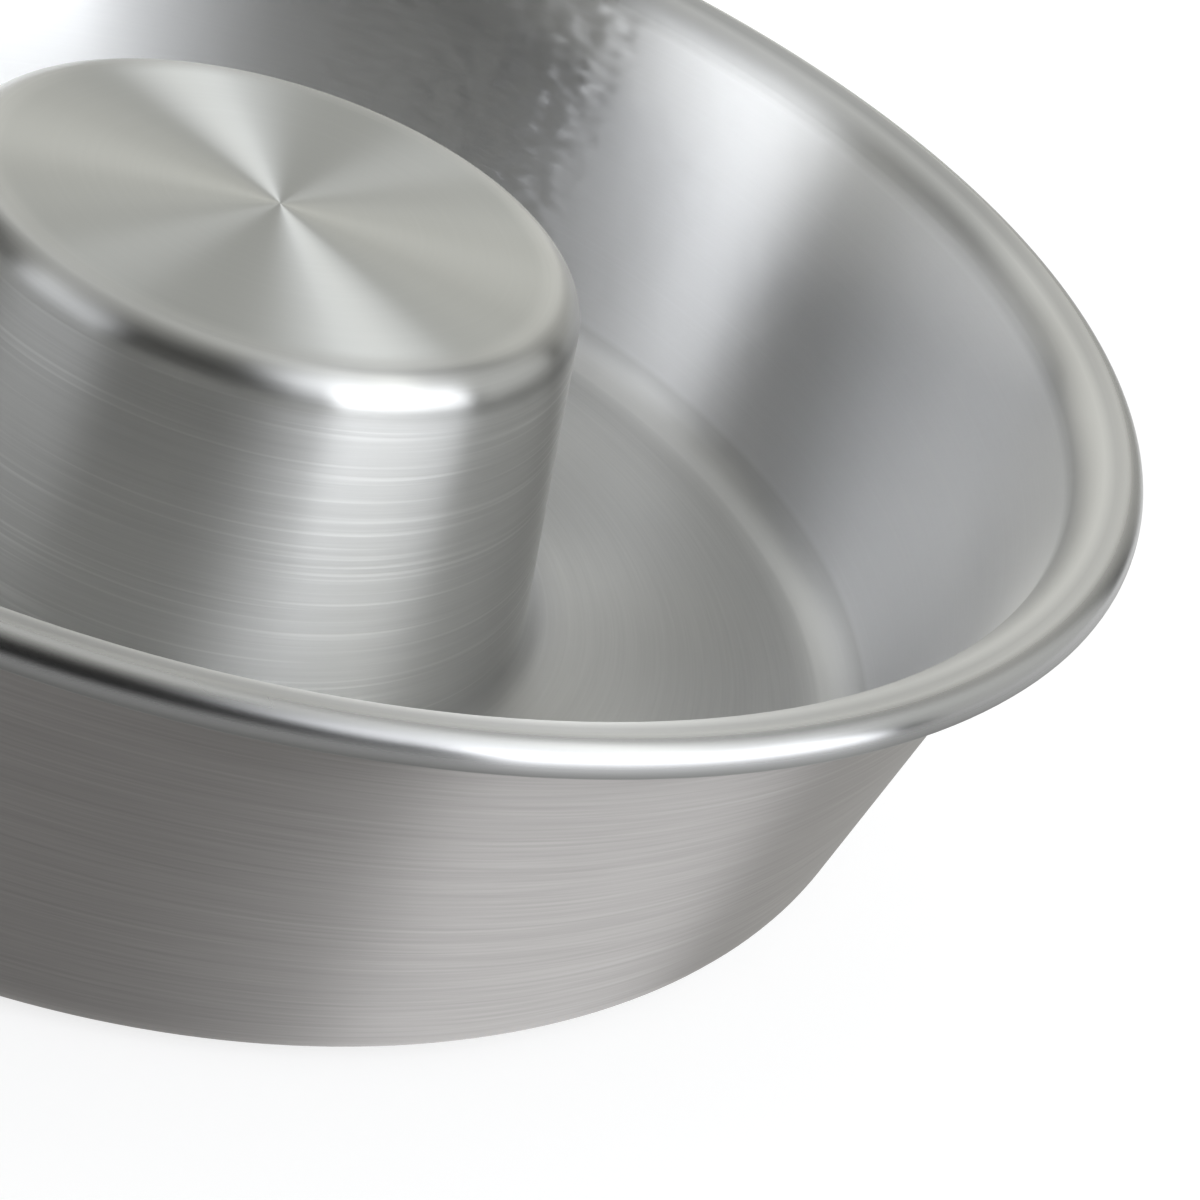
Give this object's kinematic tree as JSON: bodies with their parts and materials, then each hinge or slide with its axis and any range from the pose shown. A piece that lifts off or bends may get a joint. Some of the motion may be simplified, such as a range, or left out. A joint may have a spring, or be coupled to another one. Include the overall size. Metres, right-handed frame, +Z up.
{
  "type": "ring cake pan",
  "caption": "Round ring cake pan of spun sheet metal with a tapered wall, a turned-down lip and a closed flat-topped centre tube; holds batter for a ring-shaped cake.",
  "frame": {"origin": "centre line of the pan at the underside of the base ring", "axes": "+Z up along the centre line, towards the open top"},
  "size_m": [0.2032, 0.2032, 0.0534],
  "materials": {
    "aluminium": "satin, spun and brushed round the centre line"
  },
  "bodies": {
    "root": {"rolled_edge": "aluminium", "flared_lip": "aluminium", "outer_wall": "aluminium", "base_ring": "aluminium", "tube_wall": "aluminium", "tube_top": "aluminium"}
  },
  "joints": []
}
